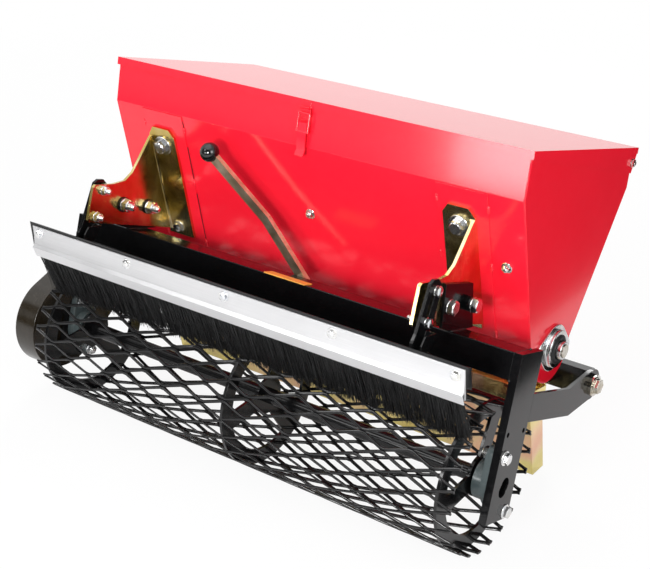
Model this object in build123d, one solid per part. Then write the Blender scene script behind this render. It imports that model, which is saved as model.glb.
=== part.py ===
"""Seed drill, 1 m wide, that fits behind a power harrow: a hopper over a mesh roller.

Frame of the drawing: X runs across the machine, with +X at the bearing end and -X at the
chain end.  Y runs from the cleaning brush (-Y) to the hitch (+Y), which is the way of travel.
Z is up.  The drawing is made with the machine level and the roller's axis on Y = Z = 0.
Pieces are leaned back at the end, because the machine parks on its roller and its chute.
Points given in pairs are (y, z).
"""

import os
from math import acos, asin, atan2, cos, degrees, hypot, radians, sin, tan

from build123d import *

# ---------------------------------------------------------------- driving dimensions, in mm
RUNNING = 0.05

# roller
ROLLER_R = 142.0
ROLLER_HALF = 500.0
SKIN = 1.5
AXLE_R = 15.0
SPIDER_X = (-470.0, 0.0, 470.0)
SPIDER_THICK = 6.0
RIM_WIDTH = 30.0
HUB_R = 38.0
SPOKES = 3
SPOKE_WIDTH = 34.0
SPOKE_TURN = 75.0

# hopper, from its front foot round to its rear top
HOPPER_HALF = 469.0
SHEET = 2.0
END_SHEET = 2.5
BAND_Y = 3.5
BAND_TOP = 572.0
CREASE_FRONT = (BAND_Y, 491.0)
FRONT_FOOT = (130.5, 208.0)
REAR_FOOT = (291.0, 205.0)
CREASE_REAR = (434.0, 480.0)
REAR_TOP = (434.0, 551.0)
PANEL_LENGTH = hypot(FRONT_FOOT[0] - CREASE_FRONT[0], FRONT_FOOT[1] - CREASE_FRONT[1])
DOUBLER_INNER = 294.0
DOUBLER_OUTER = 398.0
DOUBLER = 2.0

# seed shaft in the hopper's trough
SEED_AXIS = (222.0, 195.0)
SEED_FLANGE_R = 45.0
SEED_SHAFT_R = 12.5
TROUGH_R = 70.0
OUTLETS = 12
OUTLET_R = 9.0
PIN_R = 3.5
PIN_REACH = 45.0

# lid and its latch
LID_HALF = 473.0
LID_FRONT = (0.0, 578.5)
LID_REAR = (446.0, 558.5)
LID_END_LOW = (430.0, 509.0)
LID_AXIS = (425.0, 530.0)
LID_PIN_R = 5.0
LID_PIN_HEAD = 3.5
FRONT_FLANGE = 15.0
REAR_FLANGE = 12.0
LATCH_X = 6.0
LATCH_HALF = 10.5
BAIL_R = 2.0
BAIL_LOW = 519.0
BAIL_HIGH = 554.0

# frame
LEG_OUT = 524.0
LEG_THICK = 15.0
LEG_IN = LEG_OUT - LEG_THICK
LEG_WIDTH = 82.0
LEG_FOOT = -68.0
LEG_TOP = 240.0
LEG_LEAN = 5.2
LEG_HOLE_W = 29.5
LEG_HOLE_S = 96.0
LEG_HOLE_R = 4.5
LEG_EYE = ((2.0, -1.0), (-3.0, -9.0))
LEG_EYE_R = 14.0
AXLE_END = LEG_IN - 6.0
BEAM_DEPTH = 60.0
BEAM_HEIGHT = 50.0
BEAM_WALL = 4.0

# roller bearings
BOLT_CIRCLE_R = 58.5
BOLT_TURN = 18.7
BEARING_BOLT_R = 6.0
FLANGE_R = 40.0
CUP_R = 38.0
FLANGE_THICK = 13.0
CUP_THICK = 17.0

# hitch
HITCH_AXIS = (311.0, 120.0)
HITCH_BOLT_R = 10.0
BUSH_R = 21.0
BUSH_PROUD = 8.0
WASHER_R = 17.0
WASHER_THICK = 2.5
HEAD_FLATS = 26.0
HEAD_THICK = 6.5
ARM_THICK = 8.0
ARM_ROOT_TOP = 161.0
ARM_ROOT_FOOT = 109.0
ARM_TOP = ((209.0, 133.0), (298.0, 150.0))
ARM_FOOT = ((223.0, 77.0), (325.0, 93.0))
ARM_END_R = 30.0
CROSS_Y = 300.0
CROSS_Z = 97.0
CROSS_DEPTH = 30.0
CROSS_HEIGHT = 50.0
CROSS_WALL = 3.0

# chain guard
GUARD_IN = 532.0
GUARD_OUT = 586.0
GUARD_SHEET = 3.0
GUARD_LOW = (-20.0, -2.0)
GUARD_LOW_R = 96.0
GUARD_HIGH_R = 55.0

# seed chute
CHUTE_HALF = 454.0
CHUTE_SHEET = 2.0
CHUTE_FOOT = (276.0, -82.0)
CHUTE_MOUTH = 42.0
CHUTE_FRONT = ((210.0, 104.0), (198.0, 68.0), (212.0, 61.0), CHUTE_FOOT)
CHUTE_LIP = (CROSS_Y, 108.0)
CHUTE_REAR = ((262.0, 108.0), (272.0, 40.0))

# brackets between beam and hopper, which sit a little towards the chain end
BRACKET_SHIFT = -6.0
BRACKET_X = 380.0
BRACKET_WIDTH = 66.0
BRACKET_SHEET = 6.0
BRACKET_TOP = 37.0
BRACKET_SHOULDER = 54.0
BRACKET_CHAMFER = 12.0
BRACKET_BEND = 5.0
BRACKET_FOOT = 290.0
PLATE_THICK = 6.0
BRUSH_ARM_BOLTS = ((-104.0, 331.0), (-119.0, 279.0))
BRUSH_ARM_TOP = (
    (-107.0, 262.0),
    (-94.0, 268.0),
    (-82.0, 325.0),
    (-85.0, 341.0),
    (-95.0, 350.0),
    (-110.0, 351.0),
    (-120.0, 345.0),
)
BRUSH_ARM_FOOT = (
    (-143.0, 262.0),
    (-152.0, 247.0),
    (-152.0, 232.0),
    (-122.0, 232.0),
    (-107.0, 262.0),
)
BRUSH_SLOT_R = 5.0
BRUSH_SPACER_R = 9.0
BRUSH_FORK = 18.0
BRUSH_WEB = -5.0

# cleaning brush
BRUSH_LEFT = -504.0
BRUSH_RIGHT = 502.0
BRUSH_TOP = (-176.0, 247.0)
BRUSH_LEAN = 17.4
STRIP_LEFT = -494.0
STRIP_SECTION = (
    (6.0, 0.0),
    (6.0, 3.0),
    (17.0, 3.0),
    (26.0, 3.4),
    (35.0, 4.5),
    (44.0, 6.3),
    (50.0, 12.0),
    (72.0, 6.0),
    (71.3, 3.6),
    (52.5, 8.8),
    (50.0, 2.6),
    (65.0, 2.6),
    (65.0, 0.0),
)
ANGLE_LEG = 64.0
ANGLE_SHEET = 4.0
ANGLE_DEPTH = 24.0
GUSSET_THICK = 3.0
GUSSET_HEIGHT = 37.0
BRISTLE_HALF = 494.0
BRISTLE_FRONT = (66.0, 4.0)
BRISTLE_REAR = (64.0, -12.0)
BRISTLE_LEAN = 33.2
BRISTLE_LENGTH = 95.0
BRISTLE_GAP = 5.0

# seed rate lever, as (x, y, z)
KNOB_R = 19.0
LEVER_KNOB = (-182.5, -34.0, 444.0)
LEVER_BEND = (-71.0, 22.0, 333.0)
LEVER_FOOT = (18.0, 52.0, 226.0)
LEVER_THICK = 9.0
LEVER_WIDTH = 22.0
LEVER_SIDE = (0, 1, 0.45)

# Leaned back like this, the roller and the chute's foot touch the same floor.
PARK_TILT = degrees(
    asin(ROLLER_R / hypot(*CHUTE_FOOT)) - atan2(-CHUTE_FOOT[1], CHUTE_FOOT[0])
)

NODES = {}


# ---------------------------------------------------------------- ways of drawing
def across(profile, x0, x1):
    """Run a profile drawn in the Y-Z plane from x0 to x1."""
    return extrude(Plane.YZ.offset(x0) * profile, amount=x1 - x0, dir=(1, 0, 0))


def outline(*points):
    """Flat shape with straight edges, given its corners as (y, z), either way round."""
    following = points[1:] + points[:1]
    turn = sum(a[0] * b[1] - b[0] * a[1] for a, b in zip(points, following))
    return Polygon(*(points if turn > 0 else points[::-1]), align=None)


def upright(y0, z0, y1, z1):
    """Level rectangle between two corners."""
    return outline((y0, z0), (y1, z0), (y1, z1), (y0, z1))


def disc(centre, radius):
    """Round flat shape."""
    return Pos(*centre) * Circle(radius)


def rod(centre, radius, x0, x1):
    """Round bar along X."""
    return across(disc(centre, radius), x0, x1)


def folded(points, thickness):
    """Section of a sheet folded along points; the metal lies to the left of the way they run."""
    shifted = []
    for i, (y, z) in enumerate(points):
        sides = []
        for a, b in ((i - 1, i), (i, i + 1)):
            if a >= 0 and b < len(points):
                dy, dz = points[b][0] - points[a][0], points[b][1] - points[a][1]
                run = hypot(dy, dz)
                sides.append((-dz / run, dy / run))
        ny, nz = sum(s[0] for s in sides), sum(s[1] for s in sides)
        reach = thickness / (ny * sides[0][0] + nz * sides[0][1])
        shifted.append((y + ny * reach, z + nz * reach))
    return outline(*points, *reversed(shifted))


def tapered(a, ra, b, rb):
    """Belt-shaped outline round two circles, which may differ in size."""
    lead = atan2(b[1] - a[1], b[0] - a[0])
    open_by = acos((ra - rb) / hypot(b[0] - a[0], b[1] - a[1]))
    near, far = [], []
    for angle in (lead + open_by, lead - open_by):
        near.append((a[0] + ra * cos(angle), a[1] + ra * sin(angle)))
        far.append((b[0] + rb * cos(angle), b[1] + rb * sin(angle)))
    return outline(near[0], far[0], far[1], near[1]) + disc(a, ra) + disc(b, rb)


def on_leg(w, s):
    """Point on the leaning leg: w across it, s up along it from the roller's axis."""
    lean = radians(LEG_LEAN)
    return (w * cos(lean) + s * sin(lean), -w * sin(lean) + s * cos(lean))


def leg_box(w0, w1, s0, s1):
    """Rectangle that leans with the leg."""
    return outline(on_leg(w0, s0), on_leg(w1, s0), on_leg(w1, s1), on_leg(w0, s1))


def on_panel(s, off):
    """Point on the hopper's front panel: s down it from the crease, off in front of it."""
    dy = (FRONT_FOOT[0] - CREASE_FRONT[0]) / PANEL_LENGTH
    dz = (FRONT_FOOT[1] - CREASE_FRONT[1]) / PANEL_LENGTH
    return (CREASE_FRONT[0] + dy * s + dz * off, CREASE_FRONT[1] + dz * s - dy * off)


def on_brush(s, off):
    """Point on the leaning brush: s down its face from the top edge, off in front of it."""
    lean = radians(BRUSH_LEAN)
    return (
        BRUSH_TOP[0] + s * sin(lean) - off * cos(lean),
        BRUSH_TOP[1] - s * cos(lean) - off * sin(lean),
    )


def add_pair(name, right, shift=0.0):
    """Add a right-hand piece and its mirror image on the left, both moved along X by shift."""
    NODES[f"{name}_right"] = Pos(shift, 0, 0) * right
    NODES[f"{name}_left"] = Pos(shift, 0, 0) * mirror(right, about=Plane.YZ)


# ---------------------------------------------------------------- hopper
def trough_shape(inset):
    """Everything inside the trough's wall, as a flat shape."""
    dy, dz = FRONT_FOOT[0] - SEED_AXIS[0], FRONT_FOOT[1] - SEED_AXIS[1]
    angle = atan2(dz, dy) + acos(TROUGH_R / hypot(dy, dz))
    start = (SEED_AXIS[0] + TROUGH_R * cos(angle), SEED_AXIS[1] + TROUGH_R * sin(angle))
    ny, nz = -cos(angle) * inset, -sin(angle) * inset
    fill = outline(
        (FRONT_FOOT[0] + ny, FRONT_FOOT[1] + nz),
        (start[0] + ny, start[1] + nz),
        SEED_AXIS,
        (SEED_AXIS[0] + TROUGH_R - inset, SEED_AXIS[1]),
        (REAR_FOOT[0] - inset, REAR_FOOT[1]),
    )
    round_y = SEED_AXIS[0] - 2 * TROUGH_R
    lower_half = upright(round_y, 0, round_y + 4 * TROUGH_R, SEED_AXIS[1])
    return fill + (disc(SEED_AXIS, TROUGH_R - inset) & lower_half)


def outlet_places():
    """Where the outlets and the stirring pins stand along X."""
    pitch = 2 * (HOPPER_HALF - END_SHEET) / OUTLETS
    return [(i + 0.5) * pitch - HOPPER_HALF + END_SHEET for i in range(OUTLETS)]


def make_hopper():
    """Folded front, folded rear, rolled trough with a row of outlets, and two flat ends."""
    inner = HOPPER_HALF - END_SHEET
    front = folded([(BAND_Y, BAND_TOP), CREASE_FRONT, FRONT_FOOT], SHEET)
    rear = folded([REAR_FOOT, CREASE_REAR, REAR_TOP], SHEET)
    NODES["hopper_front"] = across(front, -inner, inner)
    NODES["hopper_rear"] = across(rear, -inner, inner)

    outlet = Cylinder(OUTLET_R, 4 * SHEET)
    bottom = SEED_AXIS[1] - TROUGH_R
    outlets = [Pos(x, SEED_AXIS[0], bottom) * outlet for x in outlet_places()]
    NODES["hopper_trough"] = across(trough_shape(0) - trough_shape(SHEET), -inner, inner) - outlets

    end = outline(
        (BAND_Y, BAND_TOP), CREASE_FRONT, FRONT_FOOT, SEED_AXIS, REAR_FOOT, CREASE_REAR, REAR_TOP
    )
    end = end + trough_shape(0) - disc(SEED_AXIS, SEED_SHAFT_R + 6)
    add_pair("hopper_end", across(end, inner, HOPPER_HALF))


def make_doublers():
    """Flat plates welded on the hopper's front, under each bracket."""
    inset = 2.0
    foot = PANEL_LENGTH - inset
    plate = outline(
        on_panel(inset, 0), on_panel(foot, 0), on_panel(foot, DOUBLER), on_panel(inset, DOUBLER)
    )
    add_pair("doubler", across(plate, DOUBLER_INNER, DOUBLER_OUTER))


# ---------------------------------------------------------------- lid
def make_lid():
    """Pressed lid: top sheet, short front and rear flanges, wedge-shaped end flanges."""
    slope = (LID_REAR[1] - LID_FRONT[1]) / (LID_REAR[0] - LID_FRONT[0])
    front_y, front_z = LID_FRONT
    rear_y, rear_z = LID_REAR
    section = outline(
        (front_y, front_z - FRONT_FLANGE),
        LID_FRONT,
        LID_REAR,
        (rear_y, rear_z - REAR_FLANGE),
        (rear_y - SHEET, rear_z - REAR_FLANGE),
        (rear_y - SHEET, rear_z - SHEET - slope * SHEET),
        (front_y + SHEET, front_z - SHEET + slope * SHEET),
        (front_y + SHEET, front_z - FRONT_FLANGE),
    )
    end = outline(LID_FRONT, (front_y, front_z - FRONT_FLANGE), LID_END_LOW, LID_REAR)
    end = end - disc(LID_AXIS, LID_PIN_R + 2 * RUNNING)
    lid = across(section, -LID_HALF, LID_HALF)
    for x in (-LID_HALF, LID_HALF - SHEET):
        lid = lid + across(end, x, x + SHEET)
    NODES["lid"] = lid

    head_in = LID_HALF + 0.5
    pivot = rod(LID_AXIS, LID_PIN_R, HOPPER_HALF, head_in)
    pivot = pivot + rod(LID_AXIS, LID_PIN_R + LID_PIN_HEAD, head_in, head_in + 6)
    add_pair("lid_pivot", pivot)


def make_latch():
    """Toggle latch: base and lever with a wire bail on the band, and a catch on the lid."""
    face = BAND_Y
    base = across(upright(face, 497, face - 2, 545), LATCH_X - LATCH_HALF, LATCH_X + LATCH_HALF)
    lever = outline(
        (face - 2, 541), (-7, 536), (-7, 505), (-4, 486), (-9, 475), (-7, 473.5), (-1.5, 486),
        (-4.5, 505), (-4.5, 530), (face - 2, 534),
    )
    latch = base + across(lever, LATCH_X - LATCH_HALF + 1, LATCH_X + LATCH_HALF - 1)
    wire_y = -5.75
    reach = LATCH_HALF + BAIL_R
    for x in (LATCH_X - reach, LATCH_X + reach):
        side = Cylinder(BAIL_R, BAIL_HIGH - BAIL_LOW, align=(Align.CENTER, Align.CENTER, Align.MIN))
        latch = latch + Pos(x, wire_y, BAIL_LOW) * side
    for z in (BAIL_LOW, BAIL_HIGH):
        latch = latch + rod((wire_y, z), BAIL_R, LATCH_X - reach - BAIL_R, LATCH_X + reach + BAIL_R)
    NODES["lid_latch"] = latch

    catch = outline((0, 576), (0, 548), (-2, 548), (-2, 561), (-9, 564), (-9, 566.5), (-2, 564), (-2, 576))
    NODES["latch_hook"] = across(catch, LATCH_X - LATCH_HALF, LATCH_X + LATCH_HALF)


# ---------------------------------------------------------------- frame
def make_beam():
    """Square tube that ties the two legs together under the hopper's front."""
    front = -LEG_WIDTH / 2
    rear = front + BEAM_DEPTH
    foot = LEG_TOP - BEAM_HEIGHT
    tube = leg_box(front, rear, foot, LEG_TOP)
    hollow = leg_box(front + BEAM_WALL, rear - BEAM_WALL, foot + BEAM_WALL, LEG_TOP - BEAM_WALL)
    NODES["beam"] = across(tube - hollow, -LEG_IN, LEG_IN)


def bearing_bolts():
    """Centres of the two bolts of the roller's flanged bearing."""
    turn = radians(90 + BOLT_TURN)
    step = (BOLT_CIRCLE_R * cos(turn), BOLT_CIRCLE_R * sin(turn))
    return [step, (-step[0], -step[1])]


def make_legs():
    """Flat bars that carry the roller's bearings, the beam and the hitch arms."""
    bar = leg_box(-LEG_WIDTH / 2, LEG_WIDTH / 2, LEG_FOOT, LEG_TOP)
    for w in (-LEG_HOLE_W, LEG_HOLE_W):
        bar = bar - disc(on_leg(w, LEG_HOLE_S), LEG_HOLE_R)
    for point in bearing_bolts():
        bar = bar - disc(point, BEARING_BOLT_R)
    # The axle runs out through the left leg to the chain, and ends in its bearing on the right.
    eye = disc(LEG_EYE[0], LEG_EYE_R) + disc(LEG_EYE[1], LEG_EYE_R)
    slot = tapered((-6, 0), AXLE_R + 4, (6, 0), AXLE_R + 4)
    NODES["leg_right"] = across(bar - eye, LEG_IN, LEG_OUT)
    NODES["leg_left"] = across(bar - slot, -LEG_OUT, -LEG_IN)


def make_roller_bearings():
    """Two-bolt flanged bearing units on the inner faces of the legs."""
    bore = disc((0, 0), AXLE_R + RUNNING)
    bolt_a, bolt_b = bearing_bolts()
    flange = tapered((0, 0), FLANGE_R, bolt_a, 16) + tapered((0, 0), FLANGE_R, bolt_b, 16) - bore
    cup = disc((0, 0), CUP_R) - bore
    studs = disc(bolt_a, BEARING_BOLT_R) + disc(bolt_b, BEARING_BOLT_R)
    flange_in = LEG_IN - FLANGE_THICK
    unit = across(flange, flange_in, LEG_IN) + across(cup, flange_in - CUP_THICK, flange_in)
    add_pair("roller_bearing", unit + across(studs, LEG_IN, LEG_OUT + 8))


def make_hitch():
    """Arms behind the legs, the tube between them, and the bushes that the harrow's lugs hang on."""
    root_top = on_leg(LEG_WIDTH / 2, ARM_ROOT_TOP)
    root_foot = on_leg(LEG_WIDTH / 2, ARM_ROOT_FOOT)
    arm = outline(root_top, *ARM_TOP, HITCH_AXIS, *reversed(ARM_FOOT), root_foot)
    arm = arm + disc(HITCH_AXIS, ARM_END_R)
    hole = disc(HITCH_AXIS, HITCH_BOLT_R)
    arm_in = LEG_OUT - ARM_THICK
    add_pair("hitch_arm", across(arm - hole, arm_in, LEG_OUT))

    tube = upright(CROSS_Y, CROSS_Z, CROSS_Y + CROSS_DEPTH, CROSS_Z + CROSS_HEIGHT)
    hollow = upright(
        CROSS_Y + CROSS_WALL,
        CROSS_Z + CROSS_WALL,
        CROSS_Y + CROSS_DEPTH - CROSS_WALL,
        CROSS_Z + CROSS_HEIGHT - CROSS_WALL,
    )
    plug_in = arm_in - 25
    crossbar = across(tube - hollow, -plug_in, plug_in)
    for x in (-arm_in, plug_in):
        crossbar = crossbar + across(tube - hole, x, x + arm_in - plug_in)
    NODES["hitch_crossbar"] = crossbar

    bush_out = LEG_OUT + BUSH_PROUD
    washer_out = bush_out + WASHER_THICK
    head = Pos(*HITCH_AXIS) * RegularPolygon(HEAD_FLATS / 2, 6, major_radius=False)
    pin = rod(HITCH_AXIS, HITCH_BOLT_R, plug_in, LEG_OUT)
    pin = pin + rod(HITCH_AXIS, BUSH_R, LEG_OUT, bush_out)
    pin = pin + rod(HITCH_AXIS, WASHER_R, bush_out, washer_out)
    add_pair("hitch_pin", pin + across(head, washer_out, washer_out + HEAD_THICK))


# ---------------------------------------------------------------- roller
def make_roller():
    """Mesh drum on three spoked hoops, all carried by one bar."""
    inside = ROLLER_R - SKIN
    NODES["roller_skin"] = across(disc((0, 0), ROLLER_R) - disc((0, 0), inside), -ROLLER_HALF, ROLLER_HALF)
    NODES["roller_axle"] = rod((0, 0), AXLE_R, -GUARD_OUT + 8, AXLE_END)

    web = disc((0, 0), inside) - disc((0, 0), inside - RIM_WIDTH)
    middle = inside - RIM_WIDTH / 2
    for i in range(SPOKES):
        spoke = Pos(middle / 2, 0) * Rectangle(middle, SPOKE_WIDTH)
        web = web + Rot(0, 0, SPOKE_TURN + 360 / SPOKES * i) * spoke
    web = web + disc((0, 0), HUB_R) - disc((0, 0), AXLE_R)
    half = SPIDER_THICK / 2
    NODES["roller_spiders"] = Compound([across(web, x - half, x + half) for x in SPIDER_X])


# ---------------------------------------------------------------- seed shaft and its drive
def make_seed_shaft():
    """Shaft with a row of cross pins that keep the seed moving over the outlets."""
    pins = []
    for i, x in enumerate(outlet_places()):
        turn = 45.0 if i % 2 else 0.0
        pins.append(Pos(x, *SEED_AXIS) * Rot(turn, 0, 0) * Cylinder(PIN_R, 2 * PIN_REACH))
    NODES["seed_shaft"] = rod(SEED_AXIS, SEED_SHAFT_R, -GUARD_OUT + 8, HOPPER_HALF + 27) - pins
    NODES["stirring_pins"] = Compound(pins)

    bore = disc(SEED_AXIS, SEED_SHAFT_R + RUNNING)
    flange = disc(SEED_AXIS, SEED_FLANGE_R)
    for dy, dz in ((-50, 4), (50, -4)):
        flange = flange + tapered(SEED_AXIS, SEED_FLANGE_R, (SEED_AXIS[0] + dy, SEED_AXIS[1] + dz), 15)
    unit = across(flange - bore, HOPPER_HALF, HOPPER_HALF + 5)
    unit = unit + across(disc(SEED_AXIS, 36) - bore, HOPPER_HALF + 5, HOPPER_HALF + 13)
    unit = unit + across(disc(SEED_AXIS, 17.5) - bore, HOPPER_HALF + 13, HOPPER_HALF + 25)
    add_pair("seed_bearing", unit)


def make_chain_guard():
    """Closed sheet-metal case over the chain from the roller to the seed shaft."""
    outer = tapered(GUARD_LOW, GUARD_LOW_R, SEED_AXIS, GUARD_HIGH_R)
    inner = tapered(GUARD_LOW, GUARD_LOW_R - GUARD_SHEET, SEED_AXIS, GUARD_HIGH_R - GUARD_SHEET)
    case = across(outer, -GUARD_OUT, -GUARD_IN)
    case = case - across(inner, -GUARD_OUT + GUARD_SHEET, -GUARD_IN - GUARD_SHEET)
    for axis, radius in (((0, 0), AXLE_R), (SEED_AXIS, SEED_SHAFT_R)):
        case = case - rod(axis, radius + 3, -GUARD_IN - 3 * GUARD_SHEET, -GUARD_IN + 1)
    NODES["chain_guard"] = case


# ---------------------------------------------------------------- seed chute
def make_chute():
    """Bent sheets that lead the seed from the trough to the ground behind the harrow."""
    lean = radians(PARK_TILT)
    along = (cos(lean), sin(lean))
    rear_foot = (CHUTE_FOOT[0] + CHUTE_MOUTH * along[0], CHUTE_FOOT[1] + CHUTE_MOUTH * along[1])
    reach = 2 * CHUTE_MOUTH
    floor_front = (CHUTE_FOOT[0] - reach * along[0], CHUTE_FOOT[1] - reach * along[1])
    floor_rear = (CHUTE_FOOT[0] + reach * along[0], CHUTE_FOOT[1] + reach * along[1])
    below_floor = outline(
        floor_front, (floor_front[0], floor_front[1] - reach), (floor_rear[0], floor_front[1] - reach),
        floor_rear,
    )
    inner = CHUTE_HALF - CHUTE_SHEET
    front = folded(CHUTE_FRONT, CHUTE_SHEET) - below_floor
    rear = folded([CHUTE_LIP, *CHUTE_REAR, rear_foot], -CHUTE_SHEET) - below_floor
    NODES["chute_front"] = across(front, -inner, inner)
    NODES["chute_rear"] = across(rear, -inner, inner)
    add_pair("chute_end", across(outline(*CHUTE_FRONT, rear_foot, *reversed(CHUTE_REAR)), inner, CHUTE_HALF))


# ---------------------------------------------------------------- brackets
def in_bracket_bend(edge):
    """Whether an edge runs down the inside of the bracket's fold."""
    ends = (edge @ 0, edge @ 1)
    face = on_panel(0, DOUBLER + BRACKET_SHEET)
    down = on_panel(100, DOUBLER + BRACKET_SHEET)
    run = hypot(down[0] - face[0], down[1] - face[1])
    for end in ends:
        off = ((end.Y - face[0]) * (down[1] - face[1]) - (end.Z - face[1]) * (down[0] - face[0])) / run
        if abs(end.X - BRACKET_X + BRACKET_SHEET) > 0.01 or abs(off) > 0.01:
            return False
    return edge.length > BRACKET_WIDTH


def make_brackets():
    """Zinc-plated angle brackets that hang the hopper from plates welded on the beam."""
    low = DOUBLER
    side = outline(
        on_panel(BRACKET_SHOULDER, low),
        on_panel(BRACKET_SHOULDER + 6, 14),
        (-9, 389),
        (-26, 361.5),
        (-46, 346),
        (-78, 342),
        (-128, 344),
        (-134, 339),
        (-141, 274),
        (-137, 269),
        (41, 243),
        on_panel(BRACKET_FOOT - 6, low),
    )
    inner = BRACKET_X - BRACKET_WIDTH
    panel_y, panel_z = on_panel(0, low)
    out_y, out_z = on_panel(0, low + 1)
    panel = Plane(
        origin=(0, panel_y, panel_z), x_dir=(1, 0, 0), z_dir=(0, out_y - panel_y, out_z - panel_z)
    )
    flange = Polygon(
        (inner, -BRACKET_FOOT),
        (BRACKET_X, -BRACKET_FOOT),
        (BRACKET_X, -BRACKET_SHOULDER),
        (BRACKET_X - BRACKET_CHAMFER, -BRACKET_TOP),
        (inner + BRACKET_CHAMFER, -BRACKET_TOP),
        (inner, -BRACKET_SHOULDER),
        align=None,
    )
    bracket = extrude(panel * flange, amount=BRACKET_SHEET)
    bracket = bracket + across(side, BRACKET_X - BRACKET_SHEET, BRACKET_X)
    bends = [edge for edge in bracket.edges() if in_bracket_bend(edge)]
    bracket = fillet(bends, BRACKET_BEND)
    add_pair("hopper_bracket", bracket, BRACKET_SHIFT)

    beam_front = -LEG_WIDTH / 2
    plate = outline(
        (-57, 334),
        (41, 322),
        (66, 236),
        on_leg(beam_front + BEAM_DEPTH, LEG_TOP),
        on_leg(beam_front + 3, LEG_TOP),
        (-49, 253),
    )
    plate_out = BRACKET_X + PLATE_THICK
    add_pair("beam_plate", across(plate, BRACKET_X, plate_out), BRACKET_SHIFT)


def make_brush_arms():
    """Slotted plates that hold the brush, each spaced off its bracket and forked at its foot."""
    arm_in = BRACKET_X + PLATE_THICK
    arm_out = arm_in + PLATE_THICK
    slot_top, slot_foot = BRUSH_ARM_BOLTS
    slot = tapered(slot_top, BRUSH_SLOT_R, slot_foot, BRUSH_SLOT_R)
    blade = outline(*BRUSH_ARM_TOP, *BRUSH_ARM_FOOT[:-1]) - slot
    spacers = disc(slot_top, BRUSH_SPACER_R) + disc(slot_foot, BRUSH_SPACER_R) - slot
    prong = outline(*BRUSH_ARM_FOOT)
    web = prong & Pos(BRUSH_WEB, 0) * prong
    # The forks open the same way on both sides, towards the bearing end.
    for side, arm_x, gap_x in (("right", arm_in, BRACKET_X), ("left", -arm_out, -arm_in)):
        x = arm_x + BRACKET_SHIFT
        gap = gap_x + BRACKET_SHIFT
        fork = x + PLATE_THICK + BRUSH_FORK
        arm = across(blade, x, x + PLATE_THICK) + across(spacers, gap, gap + PLATE_THICK)
        arm = arm + across(prong, fork - PLATE_THICK / 2, fork) + across(prong - web, x, fork)
        NODES[f"brush_arm_{side}"] = arm


# ---------------------------------------------------------------- cleaning brush
def make_brush():
    """Angle, clamping strip and bristles that wipe the roller's mesh."""
    at = on_brush
    top_y, top_z = BRUSH_TOP
    lean = radians(BRUSH_LEAN)
    under = ANGLE_SHEET * (1 + sin(2 * lean)) / cos(2 * lean)
    rear_y, rear_z = top_y + ANGLE_DEPTH, top_z - ANGLE_DEPTH * tan(lean)
    rear_foot = (rear_y, rear_z - ANGLE_SHEET / cos(lean))
    angle = outline(
        BRUSH_TOP, at(ANGLE_LEG, 0), at(ANGLE_LEG, -ANGLE_SHEET), at(under, -ANGLE_SHEET), rear_foot,
        (rear_y, rear_z),
    )
    gusset = outline(
        at(under, -ANGLE_SHEET),
        at(under + GUSSET_HEIGHT, -ANGLE_SHEET),
        (rear_y + GUSSET_HEIGHT * sin(lean), rear_foot[1] - GUSSET_HEIGHT * cos(lean)),
        rear_foot,
    )
    carrier = across(angle, BRUSH_LEFT, BRUSH_RIGHT)
    for x in (BRUSH_LEFT, BRUSH_RIGHT - GUSSET_THICK):
        carrier = carrier + across(gusset, x, x + GUSSET_THICK)
    NODES["brush_angle"] = carrier

    strip = outline(*[at(s, off) for s, off in STRIP_SECTION])
    NODES["brush_strip"] = across(strip, STRIP_LEFT, BRUSH_RIGHT)

    lean = radians(BRISTLE_LEAN)
    run_y, run_z = BRISTLE_LENGTH * sin(lean), -BRISTLE_LENGTH * cos(lean)
    front, rear = at(*BRISTLE_FRONT), at(*BRISTLE_REAR)
    front_tip = (front[0] + run_y, front[1] + run_z)
    rear_tip = (rear[0] + run_y, rear[1] + run_z)
    tuft = outline(rear, at(ANGLE_LEG, 0), at(BRISTLE_FRONT[0], 0), front, front_tip, rear_tip)
    tuft = tuft - disc((0, 0), ROLLER_R + BRISTLE_GAP)
    NODES["brush_bristles"] = across(tuft, -BRISTLE_HALF, BRISTLE_HALF)


# ---------------------------------------------------------------- seed rate lever
def make_lever():
    """Flat bar with a ball on its end that sets the shutter, and its scale plate."""
    bar = None
    for start, finish in ((LEVER_KNOB, LEVER_BEND), (LEVER_BEND, LEVER_FOOT)):
        along = Vector(*finish) - Vector(*start)
        frame = Plane(origin=start, z_dir=along, x_dir=LEVER_SIDE)
        piece = extrude(frame * Rectangle(LEVER_THICK, LEVER_WIDTH), amount=along.length)
        bar = piece if bar is None else bar + piece
    beam_rear = on_leg(BEAM_DEPTH - LEG_WIDTH / 2, LEVER_FOOT[2])[0]
    boss_x, boss_z = LEVER_FOOT[0] - 6, LEVER_FOOT[2] + 8
    boss = extrude(Plane.XZ.offset(-beam_rear) * Pos(boss_x, boss_z) * Circle(8), amount=12, dir=(0, 1, 0))
    NODES["lever"] = bar + boss - NODES["beam"] - Pos(*LEVER_KNOB) * Sphere(KNOB_R)
    NODES["lever_knob"] = Pos(*LEVER_KNOB) * Sphere(KNOB_R)
    front = -LEG_WIDTH / 2
    NODES["scale_plate"] = across(leg_box(front - 4, front + 22, LEG_TOP, LEG_TOP + 2), -29, 67)


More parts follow.
